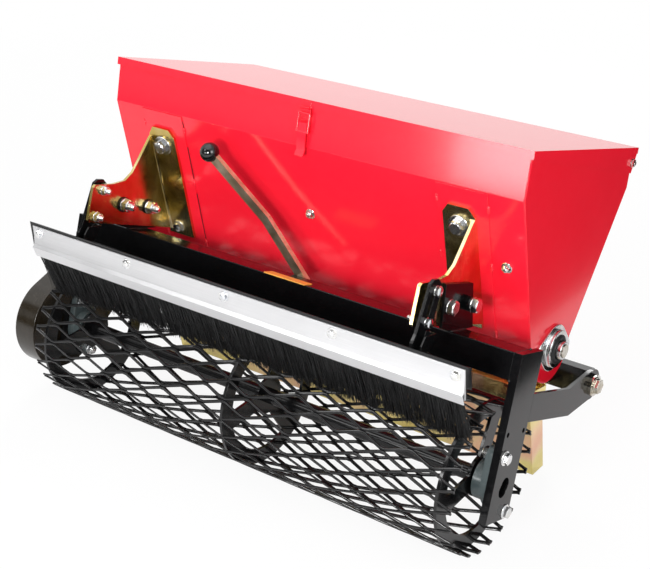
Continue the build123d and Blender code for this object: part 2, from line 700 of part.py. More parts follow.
def export_all():
    """Lean the level machine back to how it parks, centre it on the floor, and write every node."""
    os.makedirs("parts", exist_ok=True)
    parked = {name: Rot(-PARK_TILT, 0, 0) * shape for name, shape in NODES.items()}
    boxes = [shape.bounding_box() for shape in parked.values()]
    middle_x = (min(b.min.X for b in boxes) + max(b.max.X for b in boxes)) / 2
    middle_y = (min(b.min.Y for b in boxes) + max(b.max.Y for b in boxes)) / 2
    floor = min(b.min.Z for b in boxes)
    print("origin", round(middle_x, 3), round(middle_y, 3), round(floor, 3), "tilt", round(PARK_TILT, 4))
    for name, shape in parked.items():
        placed = Pos(-middle_x, -middle_y, -floor) * shape
        placed.label = name
        export_step(placed, f"parts/{name}.step")


make_hopper()
make_doublers()
make_lid()
make_latch()
make_beam()
make_legs()
make_roller_bearings()
make_hitch()
make_roller()
make_seed_shaft()
make_chain_guard()
make_chute()
make_brackets()
make_brush_arms()
make_brush()
make_lever()
export_all()
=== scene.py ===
"""Looks of a seed drill, 1 m wide: a red hopper over a mesh roller, with a cleaning brush and hitch arms.

The drill is drawn level, in millimetres from the middle of the roller's axis: X across it towards
the bearing end, Y from the brush to the hitch, Z up.  It stands leaned back on its roller and chute.
"""

import math

import bmesh
import bpy
from mathutils import Matrix, Vector


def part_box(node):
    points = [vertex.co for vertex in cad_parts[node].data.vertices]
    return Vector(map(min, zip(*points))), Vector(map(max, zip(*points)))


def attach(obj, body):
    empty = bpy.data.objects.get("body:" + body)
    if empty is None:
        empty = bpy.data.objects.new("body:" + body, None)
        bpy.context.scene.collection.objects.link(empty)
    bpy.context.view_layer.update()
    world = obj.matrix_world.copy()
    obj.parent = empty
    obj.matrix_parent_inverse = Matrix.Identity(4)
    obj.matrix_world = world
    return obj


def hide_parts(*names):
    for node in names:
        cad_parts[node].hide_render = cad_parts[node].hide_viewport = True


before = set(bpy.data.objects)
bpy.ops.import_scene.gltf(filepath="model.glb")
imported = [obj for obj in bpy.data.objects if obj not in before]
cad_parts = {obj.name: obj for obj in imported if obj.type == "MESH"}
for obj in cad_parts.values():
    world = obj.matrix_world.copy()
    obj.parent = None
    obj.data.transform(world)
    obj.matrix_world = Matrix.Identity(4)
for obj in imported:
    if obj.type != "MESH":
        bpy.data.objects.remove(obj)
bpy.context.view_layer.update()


# ---------------------------------------------------------------- roller
# Three spoked hoops of black gloss-painted plate, welded on a bar of 30 mm across the machine.
# The bar's centre is the origin of the drawing, and its place with the seed shaft's gives the lean.
SEED_AXIS = (222.0, 195.0)
DUST_COLOUR = (0.5, 0.47, 0.42, 1)


def middle(node):
    """Centre of a CAD node's box."""
    low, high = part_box(node)
    return (low + high) / 2


axle, shaft = middle("roller_axle"), middle("seed_shaft")
lean = math.atan2(SEED_AXIS[1], SEED_AXIS[0]) - math.atan2(shaft.z - axle.z, shaft.y - axle.y)
origin = Vector((middle("roller_skin").x, axle.y, axle.z))
LEVEL = Matrix.Translation(origin) @ Matrix.Rotation(-lean, 4, "X") @ Matrix.Scale(0.001, 4)


def pick(sockets, name):
    """The socket in use with that name, or number."""
    if isinstance(name, int):
        return sockets[name]
    return next(s for s in sockets if s.name == name and s.enabled)


def add_node(tree, kind, sockets=None, **settings):
    """Add a node; its sockets take numbers, colours or the outputs of other nodes."""
    made = tree.nodes.new(kind)
    for name, value in settings.items():
        setattr(made, name, value)
    for name, value in (sockets or {}).items():
        socket = pick(made.inputs, name)
        if isinstance(value, bpy.types.NodeSocket):
            tree.links.new(value, socket)
        else:
            socket.default_value = value
    return made


def result(tree, kind, sockets=None, **settings):
    """Add a node and give its first output."""
    return add_node(tree, kind, sockets, **settings).outputs[0]


def maths(tree, kind, *terms):
    """One sum over numbers or sockets."""
    return result(tree, "ShaderNodeMath", dict(enumerate(terms)), operation=kind)


def feed(tree, sockets, **values):
    """Link each value to the socket of its name."""
    for name, value in values.items():
        tree.links.new(value, sockets[name.replace("_", " ")])


def new_group(name, inputs, outputs, kind="ShaderNodeTree"):
    """Empty node group: inputs are (name, type) with a default if they have one, outputs (name, type)."""
    tree = bpy.data.node_groups.new(name, kind)
    for label, sort, *default in inputs:
        socket = tree.interface.new_socket(label, in_out="INPUT", socket_type="NodeSocket" + sort)
        if default:
            socket.default_value = default[0]
    for label, sort in outputs:
        tree.interface.new_socket(label, in_out="OUTPUT", socket_type="NodeSocket" + sort)
    return tree, tree.nodes.new("NodeGroupInput").outputs, tree.nodes.new("NodeGroupOutput").inputs


def object_noise(tree, scale, detail=2.0, roughness=0.5, stretch=(1.0, 1.0, 1.0), distortion=0.0):
    """Noise over the object's own coordinates, from 0 to 1; scale may be a number or a socket."""
    place = add_node(tree, "ShaderNodeTexCoord").outputs["Object"]
    return result(tree, "ShaderNodeTexNoise", {
        "Vector": result(tree, "ShaderNodeMapping", {"Vector": place, "Scale": stretch}),
        "Scale": scale,
        "Detail": detail,
        "Roughness": roughness,
        "Distortion": distortion,
    })


def ramp(tree, value, low, high, to=(0.0, 1.0)):
    """Value rescaled from low-high to another span, clamped."""
    return result(tree, "ShaderNodeMapRange", {
        "Value": value, "From Min": low, "From Max": high, "To Min": to[0], "To Max": to[1],
    })


def bumped(tree, strength, depth, height):
    """Normal of a surface that a pattern raises."""
    return result(tree, "ShaderNodeBump", {"Strength": strength, "Distance": depth, "Height": height})


def coordinate(tree, vector, axis):
    """X, Y or Z of a vector."""
    return add_node(tree, "ShaderNodeSeparateXYZ", {"Vector": vector}).outputs[axis]


def make_powder_coat():
    """Powder coat: faint orange peel, cloudy gloss, and dust that lies on what faces up and dulls it."""
    tree, given, out = new_group(
        "Powder coat",
        [("Peel", "Float", 0.1), ("Gloss", "Float", 0.15), ("Dust", "Float", 0.3)],
        [("Cloud", "Float"), ("Dust", "Float"), ("Roughness", "Float"), ("Normal", "Vector")],
    )
    cloud = object_noise(tree, 9.0, detail=3.0)
    up = coordinate(tree, add_node(tree, "ShaderNodeNewGeometry").outputs["Normal"], "Z")
    specks = ramp(tree, object_noise(tree, 220.0, detail=4.0, roughness=0.7), 0.5, 0.75)
    lying = maths(tree, "MULTIPLY", specks, ramp(tree, up, 0.2, 1.0))
    dust = maths(tree, "MULTIPLY", lying, given["Dust"])
    uneven = ramp(tree, object_noise(tree, 30.0, detail=3.0), 0.3, 0.7, to=(-0.003, 0.004))
    clean = maths(tree, "ADD", uneven, given["Gloss"])
    rough = maths(tree, "MULTIPLY_ADD", dust, 0.3, clean)
    peel = bumped(tree, given["Peel"], 0.0004, object_noise(tree, 420.0, detail=1.0))
    feed(tree, out, Cloud=cloud, Dust=dust, Roughness=rough, Normal=peel)
    return tree


def make_worn_edges():
    """Mask of the sharp outer edges, where a finish wears through or shows thin."""
    tree, given, out = new_group("Worn edges", [("Reach", "Float", 0.5)], [("Mask", "Float")])
    sharp = add_node(tree, "ShaderNodeNewGeometry").outputs["Pointiness"]
    patches = ramp(tree, object_noise(tree, 60.0, detail=4.0, roughness=0.7), 0.35, 0.7)
    worn = maths(tree, "MULTIPLY", ramp(tree, sharp, 0.52, 0.6), patches)
    feed(tree, out, Mask=maths(tree, "MULTIPLY", worn, given["Reach"]))
    return tree


powder_coat = make_powder_coat()
worn_edges = make_worn_edges()


def new_material(name, **constants):
    """Material with a Principled BSDF; its constant sockets are set here."""
    material = bpy.data.materials.new(name)
    material.use_nodes = True
    shader = next(n for n in material.node_tree.nodes if n.type == "BSDF_PRINCIPLED")
    for socket, value in constants.items():
        shader.inputs[socket.replace("_", " ")].default_value = value
    return material, material.node_tree, shader


def use_group(tree, group, **values):
    """Place a node group in a material's tree and give its outputs."""
    made = add_node(tree, "ShaderNodeGroup", node_tree=group)
    for name, value in values.items():
        made.inputs[name].default_value = value
    return made.outputs


def blend_colour(tree, share, low, high):
    """Colour between two, by a share that changes over the surface."""
    mix = add_node(tree, "ShaderNodeMix", {"Factor": share, "A": low, "B": high}, data_type="RGBA")
    return pick(mix.outputs, "Result")


def paint_material(name, colour, deep, edge, dust, peel, gloss, coat, wear, shine=0.5):
    """Powder coat of one colour, cloudy towards a deeper one, pale where it is dusty or thin."""
    material, tree, shader = new_material(
        name, Coat_Weight=coat, Coat_Roughness=gloss * 0.4, Specular_IOR_Level=shine,
    )
    coated = use_group(tree, powder_coat, Peel=peel, Gloss=gloss, Dust=dust)
    rubbed = use_group(tree, worn_edges, Reach=wear)
    clouded = blend_colour(tree, coated["Cloud"], colour, deep)
    thin = blend_colour(tree, rubbed["Mask"], clouded, edge)
    dusty = blend_colour(tree, coated["Dust"], thin, DUST_COLOUR)
    feed(tree, shader.inputs, Base_Color=dusty, Roughness=coated["Roughness"], Normal=coated["Normal"])
    return material


black_gloss = paint_material(
    "Black gloss paint", (0.0018, 0.0018, 0.002, 1), (0.004, 0.004, 0.0045, 1), (0.05, 0.05, 0.05, 1),
    dust=0.03, peel=0.10, gloss=0.13, coat=0.0, wear=0.08, shine=0.40,
)


def new_object(name, data):
    """Put an object in the scene."""
    thing = bpy.data.objects.new(name, data)
    bpy.context.scene.collection.objects.link(thing)
    return thing


def set_down(bm, name):
    """Mesh of a shape that is finished."""
    mesh = bpy.data.meshes.new(name)
    bm.to_mesh(mesh)
    bm.free()
    return mesh


def softened(node, edge, angle):
    """Copy of a CAD node's mesh, its loose triangles joined and its folds over an angle rounded."""
    bm = bmesh.new()
    bm.from_mesh(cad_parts[node].data)
    bmesh.ops.remove_doubles(bm, verts=bm.verts, dist=2e-6)
    bmesh.ops.dissolve_limit(bm, angle_limit=math.radians(0.4), verts=bm.verts, edges=bm.edges)
    bm.normal_update()
    fold = math.radians(angle)
    sharp = [e for e in bm.edges if len(e.link_faces) == 2 and e.calc_face_angle(0) > fold]
    bmesh.ops.bevel(
        bm, geom=sharp, offset=edge / 1000, segments=2, profile=0.6, affect="EDGES", clamp_overlap=True,
    )
    return set_down(bm, node)


def add_piece(name, mesh, material, body, replaces=(), crease=40.0):
    """Show a mesh as a piece that rides on a body, in place of the CAD nodes it stands for."""
    piece = new_object(name, mesh)
    if material:
        mesh.materials.clear()
        mesh.materials.append(material)
    mesh.shade_smooth()
    mesh.set_sharp_from_angle(angle=math.radians(crease))
    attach(piece, body)
    if replaces:
        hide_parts(*replaces)
    return piece


def refine(node, material, edge, body="frame", angle=30.0):
    """Stand a softened copy in for a CAD node, with weighted normals so that flat faces stay flat."""
    piece = add_piece("shown_" + node, softened(node, edge, angle), material, body, [node])
    piece.modifiers.new("Flat faces", "WEIGHTED_NORMAL").keep_sharp = True


for node in ("roller_spiders", "roller_axle"):
    refine(node, black_gloss, edge=0.8, body="roller")


# ---------------------------------------------------------------- roller mesh
# Drum of expanded steel mesh, slit and pulled open from one sheet, rolled and welded over the hoops.
# Each strand zigzags between the bonds that it shares with the strands beside it, and is turned on edge.
MESH_LENGTH = 1000.0
MESH_RADIUS = 142.0
DIAMONDS_ROUND = 22
DIAMOND_LENGTH = 100.0
STRAND_WIDTH = 6.4
STRAND_THICK = 3.6
STRAND_ROUNDING = 0.8
STRAND_POINTS = 201
STRAND_TURN = math.radians(28.0)
BOND_LENGTH = 10.0
BOND_OVERLAP = 0.95
FIRST_BOND = math.radians(8.0)


def new_rule(name, **sizes):
    """Empty Geometry Nodes tree that takes seeds, its sizes, each given as name=type, and a material."""
    inputs = [(label.replace("_", " "), sort) for label, sort in sizes.items()]
    ends = ("Geometry", "Geometry")
    return new_group(name, [ends, *inputs, ("Material", "Material")], [ends], "GeometryNodeTree")


def end_rule(tree, given, out, shape):
    """Close a rule: its instances become real, and take their material."""
    real = result(tree, "GeometryNodeRealizeInstances", {"Geometry": shape})
    coated = result(tree, "GeometryNodeSetMaterial", {"Geometry": real, "Material": given["Material"]})
    feed(tree, out, Geometry=coated)
    return tree


def xyz(tree, **parts):
    """Vector of the parts given, and zero for the rest."""
    return result(tree, "ShaderNodeCombineXYZ", parts)


def joined(tree, shapes):
    """Several shapes as one."""
    join = add_node(tree, "GeometryNodeJoinGeometry")
    for shape in shapes:
        tree.links.new(shape, join.inputs[0])
    return join.outputs[0]


def grown(name, tree, values, seeds, edges=(), axes=()):
    """Plain mesh that a rule grows from seed points or edges, drawn level and then placed."""
    start = bpy.data.meshes.new(name + "_start")
    start.from_pydata(seeds, list(edges), [])
    if axes:
        aims = start.attributes.new("Axis", "FLOAT_VECTOR", "POINT")
        aims.data.foreach_set("vector", [value for axis in axes for value in axis])
    holder = new_object(name + "_start", start)
    rule = holder.modifiers.new(tree.name, "NODES")
    rule.node_group = tree
    for item in tree.interface.items_tree:
        if item.in_out == "INPUT" and item.name in values:
            rule[item.identifier] = values[item.name]
    ready = holder.evaluated_get(bpy.context.evaluated_depsgraph_get())
    mesh = bpy.data.meshes.new_from_object(ready)
    bpy.data.objects.remove(holder)
    mesh.name = name
    mesh.transform(LEVEL)
    return mesh


def make_mesh_tree():
    """Rule of the expanded mesh: two mirrored zigzag strands, repeated round the drum."""
    tree, given, out = new_rule(
        "Expanded mesh", Length="Float", Radius="Float", Round="Int", Diamond="Float", Bond="Float",
        Width="Float", Thickness="Float", Turn="Float", Start="Float",
    )
    half = maths(tree, "MULTIPLY", given["Length"], 0.5)
    left, right = [xyz(tree, X=maths(tree, "MULTIPLY", half, way)) for way in (-1, 1)]
    line = result(tree, "GeometryNodeCurvePrimitiveLine", {"Start": left, "End": right})
    fine = result(tree, "GeometryNodeResampleCurve", {"Curve": line, "Count": STRAND_POINTS})
    x = coordinate(tree, result(tree, "GeometryNodeInputPosition"), "X")
    step = maths(tree, "MULTIPLY", given["Diamond"], 0.5)
    swing = maths(tree, "PINGPONG", maths(tree, "ADD", x, half), step)
    flat = maths(tree, "MULTIPLY", given["Bond"], 0.5)
    wave = ramp(tree, swing, flat, maths(tree, "SUBTRACT", step, flat), to=(1.0, -1.0))
    pitch = maths(tree, "DIVIDE", math.pi, given["Round"])
    bond = maths(tree, "DIVIDE", maths(tree, "MULTIPLY", given["Width"], BOND_OVERLAP), given["Radius"])
    reach = maths(tree, "MULTIPLY", maths(tree, "SUBTRACT", pitch, bond), 0.5)
    swung = maths(tree, "MULTIPLY", wave, reach)
    off = maths(tree, "SUBTRACT", maths(tree, "MULTIPLY", pitch, 0.5), swung)
    strands = []
    for way in (-1, 1):
        angle = maths(tree, "MULTIPLY_ADD", off, way, given["Start"])
        rear = maths(tree, "MULTIPLY", maths(tree, "COSINE", angle), -1)
        outward = xyz(tree, Y=rear, Z=maths(tree, "SINE", angle))
        ring = {0: outward, "Scale": given["Radius"]}
        place = {0: result(tree, "ShaderNodeVectorMath", ring, operation="SCALE"), 1: xyz(tree, X=x)}
        moved = result(tree, "GeometryNodeSetPosition", {
            "Geometry": fine, "Position": result(tree, "ShaderNodeVectorMath", place, operation="ADD"),
        })
        facing = result(tree, "GeometryNodeSetCurveNormal", {"Curve": moved, "Normal": outward}, mode="FREE")
        strands.append(result(tree, "GeometryNodeSetCurveTilt", {"Curve": facing, "Tilt": given["Turn"]}))
    section = result(tree, "GeometryNodeCurvePrimitiveQuadrilateral", {
        "Width": given["Thickness"], "Height": given["Width"],
    })
    fillet = {"Curve": section, "Radius": STRAND_ROUNDING, "Count": 1}
    rounded = result(tree, "GeometryNodeFilletCurve", fillet, mode="POLY")
    pair = result(tree, "GeometryNodeCurveToMesh", {
        "Curve": joined(tree, strands), "Profile Curve": rounded, "Fill Caps": True,
    })
    places = result(tree, "GeometryNodeMeshLine", {"Count": given["Round"], "Offset": (0, 0, 0)})
    each = maths(tree, "DIVIDE", 2 * math.pi, given["Round"])
    turned = maths(tree, "MULTIPLY", result(tree, "GeometryNodeInputIndex"), each)
    drum = result(tree, "GeometryNodeInstanceOnPoints", {
        "Points": places, "Instance": pair, "Rotation": xyz(tree, X=turned),
    })
    return end_rule(tree, given, out, drum)


strand_reach = (STRAND_WIDTH * math.sin(STRAND_TURN) + STRAND_THICK * math.cos(STRAND_TURN)) / 2
roller_mesh = grown("roller_mesh", make_mesh_tree(), {
    "Length": MESH_LENGTH,
    "Radius": MESH_RADIUS - strand_reach,
    "Round": DIAMONDS_ROUND,
    "Diamond": DIAMOND_LENGTH,
    "Bond": BOND_LENGTH,
    "Width": STRAND_WIDTH,
    "Thickness": STRAND_THICK,
    "Turn": STRAND_TURN,
    "Start": FIRST_BOND,
    "Material": black_gloss,
}, [(0, 0, 0)])
add_piece("roller_mesh", roller_mesh, None, "roller", ["roller_skin"], crease=50.0)


# ---------------------------------------------------------------- legs, beam and bearings
# Flat bars of black-painted steel with a box tube of 60 by 50 mm welded between them.  Cast flanged
# units on their inner faces carry the roller's bar, each held by two zinc-plated bolts through the leg.
LEG_OUT = 524.0
LEG_THICK = 15.0
BEARING_FLANGE = 13.0
BEARING_BOLT_R = 58.5
BEARING_BOLT_LINE = math.radians(90 + 18.7)

black_satin = paint_material(
    "Black satin paint", (0.0016, 0.0016, 0.0018, 1), (0.0035, 0.0035, 0.004, 1), (0.05, 0.05, 0.05, 1),
    dust=0.03, peel=0.10, gloss=0.16, coat=0.0, wear=0.04, shine=0.18,
)
cast_paint = paint_material(
    "Dark casting paint", (0.030, 0.042, 0.044, 1), (0.045, 0.06, 0.062, 1), (0.12, 0.13, 0.13, 1),
    dust=0.3, peel=0.5, gloss=0.32, coat=0.3, wear=0.6,
)
for node, edge, paint in (
    ("beam", 2.2, black_satin),
    ("leg_left", 1.2, black_gloss),
    ("leg_right", 1.2, black_gloss),
    ("beam_plate_left", 1.0, black_satin),
    ("beam_plate_right", 1.0, black_satin),
    ("roller_bearing_left", 2.0, cast_paint),
    ("roller_bearing_right", 2.0, cast_paint),
):
    refine(node, paint, edge)


def make_plating():
    """Zinc plate: cloudy film colours, fine scratches and a slightly uneven surface."""
    tree, given, out = new_group(
        "Plating",
        [("Film", "Float", 6.0), ("Polish", "Float", 0.2), ("Dents", "Float", 0.1)],
        [("Film", "Float"), ("Streak", "Float"), ("Roughness", "Float"), ("Normal", "Vector")],
    )
    film = object_noise(tree, given["Film"], detail=2.5, roughness=0.55, distortion=1.2)
    streak = object_noise(tree, 45.0, detail=3.0, roughness=0.6, stretch=(1, 1, 0.12))
    cloud = object_noise(tree, 28.0, detail=4.0, roughness=0.65)
    rough = maths(tree, "ADD", ramp(tree, cloud, 0.3, 0.7, to=(-0.05, 0.08)), given["Polish"])
    grain = bumped(tree, given["Dents"], 0.0006, object_noise(tree, 300.0, detail=3.0, roughness=0.6))
    feed(tree, out, Film=ramp(tree, film, 0.3, 0.7), Streak=streak, Roughness=rough, Normal=grain)
    return tree


plating = make_plating()


def plated_material(name, stops, streaked, film, polish, dents):
    """Plated steel whose colour runs through several film colours, given as (place, colour)."""
    material, tree, shader = new_material(name, Metallic=1.0)
    plated = use_group(tree, plating, Film=film, Polish=polish, Dents=dents)
    colours = add_node(tree, "ShaderNodeValToRGB", {"Fac": plated["Film"]})
    band = colours.color_ramp
    for place, colour in stops[1:-1]:
        band.elements.new(place)
    for element, (place, colour) in zip(band.elements, stops):
        element.position = place
        element.color = colour
    share = ramp(tree, plated["Streak"], 0.45, 0.7, to=(0.0, 0.5))
    colour = blend_colour(tree, share, colours.outputs["Color"], streaked)
    feed(tree, shader.inputs, Base_Color=colour, Roughness=plated["Roughness"], Normal=plated["Normal"])
    return material


bright_zinc = plated_material(
    "Bright zinc plate",
    ((0.0, (0.70, 0.72, 0.75, 1)), (0.5, (0.80, 0.80, 0.80, 1)), (1.0, (0.86, 0.85, 0.80, 1))),
    (0.6, 0.62, 0.65, 1), film=40.0, polish=0.2, dents=0.06,
)


def random_value(tree, low, high, seed):
    """A value from low to high, different for each point."""
    span = {"Min": low, "Max": high, "Seed": seed}
    return pick(add_node(tree, "FunctionNodeRandomValue", span, data_type="FLOAT").outputs, "Value")


FULL_TURN = 6.28
FLAT_TO_CORNER = 0.866
CHAMFER_DEPTH = 0.14
CHAMFER_TOP = 0.86
RIM_DEPTH = 0.25
RIM_INSET = 0.5
THREAD_PITCH = 1.5
THREAD_CORE = 0.86
THREAD_VALLEY = 0.84
THREAD_TIP = 0.5
TIP_LENGTH = 0.2


def make_fastener_tree():
    """Bolt head or nut on a washer, with a threaded end if it has one, at each seed point."""
    tree, given, out = new_rule(
        "Fasteners", Flats="Float", Head="Float", Washer_radius="Float", Washer="Float",
        Stub_radius="Float", Stub="Float", Pitch="Float", Seed="Int",
    )
    head, washer, stub, pitch = given["Head"], given["Washer"], given["Stub"], given["Pitch"]
    washer_radius, stub_radius = given["Washer radius"], given["Stub radius"]

    def part(size, share):
        """That share of a size."""
        return maths(tree, "MULTIPLY", size, share)

    def stood(shape, height):
        """A shape moved up to a height."""
        return result(tree, "GeometryNodeTransform", {"Geometry": shape, "Translation": xyz(tree, Z=height)})

    def cylinder(sides, radius, depth, low):
        """Cylinder that stands on a height."""
        sizes = {"Vertices": sides, "Radius": radius, "Depth": depth}
        centre = maths(tree, "MULTIPLY_ADD", depth, 0.5, low)
        return stood(result(tree, "GeometryNodeMeshCylinder", sizes), centre)

    def cone(sides, bottom, top, depth, low):
        """Cone cut off at the top, that stands on a height."""
        sizes = {"Vertices": sides, "Radius Bottom": bottom, "Radius Top": top, "Depth": depth}
        return stood(result(tree, "GeometryNodeMeshCone", sizes), low)

    half = part(given["Flats"], 0.5)
    prism = part(head, 1 - CHAMFER_DEPTH)
    top = maths(tree, "ADD", washer, prism)
    rim = maths(tree, "SUBTRACT", washer_radius, RIM_INSET)
    foot = part(washer, 1 - RIM_DEPTH)
    core = part(stub_radius, THREAD_CORE)
    tip = part(stub_radius, THREAD_TIP)
    shapes = [
        cylinder(40, washer_radius, foot, 0.0),
        cone(40, washer_radius, rim, part(washer, RIM_DEPTH), foot),
        cylinder(6, maths(tree, "DIVIDE", half, FLAT_TO_CORNER), prism, washer),
        cone(36, half, part(half, CHAMFER_TOP), part(head, CHAMFER_DEPTH), top),
        cylinder(20, core, stub, top),
        cone(20, core, tip, part(stub, TIP_LENGTH), maths(tree, "ADD", top, stub)),
    ]
    ladder = result(tree, "GeometryNodeMeshLine", {
        "Count": maths(tree, "FLOOR", maths(tree, "DIVIDE", stub, pitch)),
        "Start Location": xyz(tree, Z=top),
        "Offset": xyz(tree, Z=pitch),
    })
    flank = part(pitch, 0.5)
    valley = part(stub_radius, THREAD_VALLEY)
    ridge = joined(tree, [
        cone(20, valley, stub_radius, flank, 0.0),
        cone(20, stub_radius, valley, flank, flank),
    ])
    thread = result(tree, "GeometryNodeInstanceOnPoints", {"Points": ladder, "Instance": ridge})
    roll = random_value(tree, 0.0, FULL_TURN, given["Seed"])
    rolled = result(tree, "FunctionNodeAxisAngleToRotation", {"Axis": (0, 0, 1), "Angle": roll})
    axis = add_node(tree, "GeometryNodeInputNamedAttribute", {"Name": "Axis"}, data_type="FLOAT_VECTOR")
    aimed = result(tree, "FunctionNodeAlignRotationToVector", {
        "Rotation": rolled, "Vector": pick(axis.outputs, "Attribute"),
    })
    placed = result(tree, "GeometryNodeInstanceOnPoints", {
        "Points": given["Geometry"], "Instance": joined(tree, [*shapes, thread]), "Rotation": aimed,
    })
    return end_rule(tree, given, out, placed)


fastener_tree = make_fastener_tree()


def add_fasteners(name, seeds, size, stub=(0, 0), material=bright_zinc, slot="zinc_bright", replaces=()):
    """Like bolts or nuts at seeds, each (x, y, z, axis).

    A size is (width across the flats, head height, washer radius, washer thickness), and the end of
    a stub is (radius, length).
    """
    flats, head, washer_radius, washer = size
    mesh = grown(name, fastener_tree, {
        "Flats": flats, "Head": head, "Washer radius": washer_radius, "Washer": washer,
        "Stub radius": stub[0], "Stub": stub[1], "Pitch": THREAD_PITCH,
        "Seed": len(name), "Material": material,
    }, [seed[:3] for seed in seeds], axes=[seed[3] for seed in seeds])
    add_piece(name, mesh, None, "frame", replaces)


def sideways(x, way, places):
    """Seeds at places (y, z) on an upright face across the drill, with their axis to one side."""
    return [(x, *place, (way, 0, 0)) for place in places]


bolt_y = BEARING_BOLT_R * math.cos(BEARING_BOLT_LINE)
bolt_z = BEARING_BOLT_R * math.sin(BEARING_BOLT_LINE)
places = [(-bolt_y, -bolt_z), (bolt_y, bolt_z)]
heads, nuts = [], []
for side in (-1, 1):
    heads += sideways(side * LEG_OUT, side, places)
    nuts += sideways(side * (LEG_OUT - LEG_THICK - BEARING_FLANGE), -side, places)
add_fasteners("bearing_bolts", heads, (19, 8, 13.5, 2.2))
add_fasteners("bearing_nuts", nuts, (19, 9, 12, 2), stub=(5.8, 4.5))


# ---------------------------------------------------------------- frame welds
# Fillet welds, painted over, where the beam meets the legs and where plates stand on the beam.
# Each bead is a row of small drops that overlap.
LEG_LEAN = math.radians(5.2)
LEG_WIDTH = 82.0
LEG_TOP = 240.0
BEAM_DEPTH = 60.0
BEAM_HEIGHT = 50.0
BRACKET_SHIFT = -6.0
BRACKET_X = 380.0
PLATE_THICK = 6.0
PLATE_INSETS = (6.0, 3.0)
WELD_OUT = 0.5
DROP_STEP = 0.7


def make_weld_tree():
    """Overlapping drops along every edge, like the ripples of a weld."""
    tree, given, out = new_rule("Weld bead", Bead="Float", Seed="Int")
    path = result(tree, "GeometryNodeMeshToCurve", {"Mesh": given["Geometry"]})
    step = maths(tree, "MULTIPLY", given["Bead"], DROP_STEP)
    drops = result(tree, "GeometryNodeResampleCurve", {"Curve": path, "Length": step}, mode="LENGTH")
    points = result(tree, "GeometryNodeCurveToPoints", {"Curve": drops}, mode="EVALUATED")
    drop = result(tree, "GeometryNodeMeshUVSphere", {"Segments": 10, "Rings": 7, "Radius": given["Bead"]})
    bead = result(tree, "GeometryNodeInstanceOnPoints", {
        "Points": points, "Instance": drop, "Scale": random_value(tree, 0.85, 1.1, given["Seed"]),
    })
    return end_rule(tree, given, out, bead)


weld_tree = make_weld_tree()


def add_welds(name, runs, bead, material):
    """Weld beads along straight runs, each two points."""
    seeds = [point for run in runs for point in run]
    edges = [(2 * i, 2 * i + 1) for i in range(len(runs))]
    mesh = grown(name, weld_tree, {"Bead": bead, "Seed": len(runs), "Material": material}, seeds, edges)
    add_piece(name, mesh, None, "frame", crease=80.0)


def on_leg(w, s):
    """Point (y, z) on the leaning leg: w across it, s up along it from the roller's axis."""
    return (
        w * math.cos(LEG_LEAN) + s * math.sin(LEG_LEAN),
        -w * math.sin(LEG_LEAN) + s * math.cos(LEG_LEAN),
    )


beam_front, beam_rear = -LEG_WIDTH / 2, BEAM_DEPTH - LEG_WIDTH / 2
beam_foot = LEG_TOP - BEAM_HEIGHT
corners = [on_leg(beam_rear, LEG_TOP), on_leg(beam_rear, beam_foot), on_leg(beam_front, beam_foot)]
runs = []
for x in (LEG_THICK - LEG_OUT, LEG_OUT - LEG_THICK):
    for start, finish in zip(corners, corners[1:]):
        runs.append(((x, *start), (x, *finish)))
start, finish = on_leg(beam_front + PLATE_INSETS[0], LEG_TOP), on_leg(beam_rear - PLATE_INSETS[1], LEG_TOP)
for side in (1, -1):
    low, high = sorted((side * BRACKET_X, side * (BRACKET_X + PLATE_THICK)))
    for x in (low + BRACKET_SHIFT - WELD_OUT, high + BRACKET_SHIFT + WELD_OUT):
        runs.append(((x, *start), (x, *finish)))
add_welds("frame_welds", runs, bead=2.6, material=black_gloss)


# ---------------------------------------------------------------- hitch arms
# Black plate arms and the tube between them, with a steel bush, washer and bolt at each end on
# which the harrow's lift arms hang.
turned_steel = plated_material(
    "Oiled turned steel",
    ((0.0, (0.46, 0.40, 0.30, 1)), (0.5, (0.62, 0.60, 0.53, 1)), (1.0, (0.76, 0.75, 0.72, 1))),
    (0.32, 0.28, 0.20, 1), film=30.0, polish=0.13, dents=0.04,
)
for node in ("hitch_arm_left", "hitch_arm_right", "hitch_crossbar"):
    refine(node, black_gloss, edge=1.0)
for node in ("hitch_pin_left", "hitch_pin_right"):
    refine(node, turned_steel, edge=0.8)


# ---------------------------------------------------------------- hopper
# Red powder-coated sheet, folded for the front and the rear and rolled for the trough, with a
# flat end each side.  Doubling plates are stitch-welded to the front under the brackets, and dark
# strips of painted shade lie between the stitches along the left doubler's inner edge.
SHALLOW_FOLD = 12.0
CREASE = (3.5, 491.0)
FRONT_FOOT = (130.5, 208.0)
DOUBLER_INNER = 294.0
DOUBLER_OUTER = 398.0
STITCHES = (34.0, 152.0, 300.0)
STITCH_HALF = 5.0
STITCH_OFF = 0.6
# Painted shade: the dark strips stand for the shadow in the gap under the left doubler's inner edge. Next
# come their spans (from, to) down the panel, their width, and how far they stand off the panel.
SHADE_STRIP_SPANS = ((12.0, 30.0), (70.0, 144.0), (178.0, 288.0))
SHADE_STRIP_WIDTH = 2.0
SHADE_STRIP_OFF = 0.9
PANEL_BOLTS = ((0.7, 148.0), (428.0, 144.5))

red_gloss = paint_material(
    "Red gloss paint", (0.78, 0.011, 0.028, 1), (0.73, 0.008, 0.023, 1), (0.9, 0.10, 0.11, 1),
    dust=0.02, peel=0.05, gloss=0.15, coat=0.12, wear=0.06,
)
for node in ("hopper_front", "hopper_rear"):
    refine(node, red_gloss, edge=0.7, angle=SHALLOW_FOLD)
for node in ("hopper_trough", "hopper_end_left", "hopper_end_right"):
    refine(node, red_gloss, edge=0.7)
for node in ("doubler_left", "doubler_right"):
    refine(node, red_gloss, edge=0.5)

panel_length = math.hypot(FRONT_FOOT[0] - CREASE[0], FRONT_FOOT[1] - CREASE[1])
panel_y = (FRONT_FOOT[0] - CREASE[0]) / panel_length
panel_z = (FRONT_FOOT[1] - CREASE[1]) / panel_length


